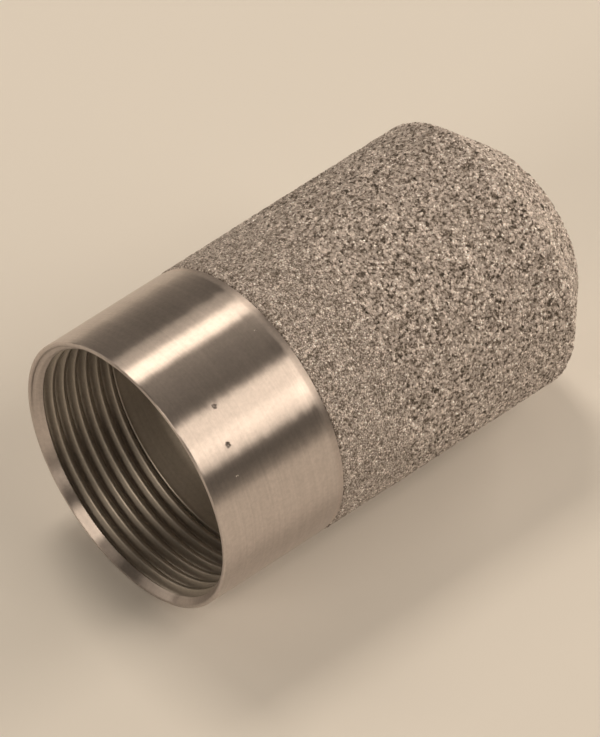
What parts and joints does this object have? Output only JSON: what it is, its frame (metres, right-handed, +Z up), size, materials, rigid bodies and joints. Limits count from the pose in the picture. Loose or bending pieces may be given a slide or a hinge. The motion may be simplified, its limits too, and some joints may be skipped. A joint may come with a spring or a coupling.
{
  "type": "pneumatic muffler",
  "caption": "Exhaust muffler with an internally threaded turned steel collar and a hollow porous sintered cup with a conical closed nose.",
  "frame": {"origin": "centre of the collar's open end face, on the part's axis", "axes": "+X along the axis from the open threaded mouth to the closed nose, +Z up with the part lying on its side"},
  "size_m": [0.0533, 0.031, 0.031],
  "materials": {
    "turned_steel": "fine turned stainless steel, bright, with circumferential tool marks",
    "sintered_metal": "matt sintered stainless grains with open pores, finer grain next to the collar"
  },
  "bodies": {
    "root": {"threaded_collar": "turned_steel", "porous_cup": "sintered_metal"}
  },
  "joints": []
}
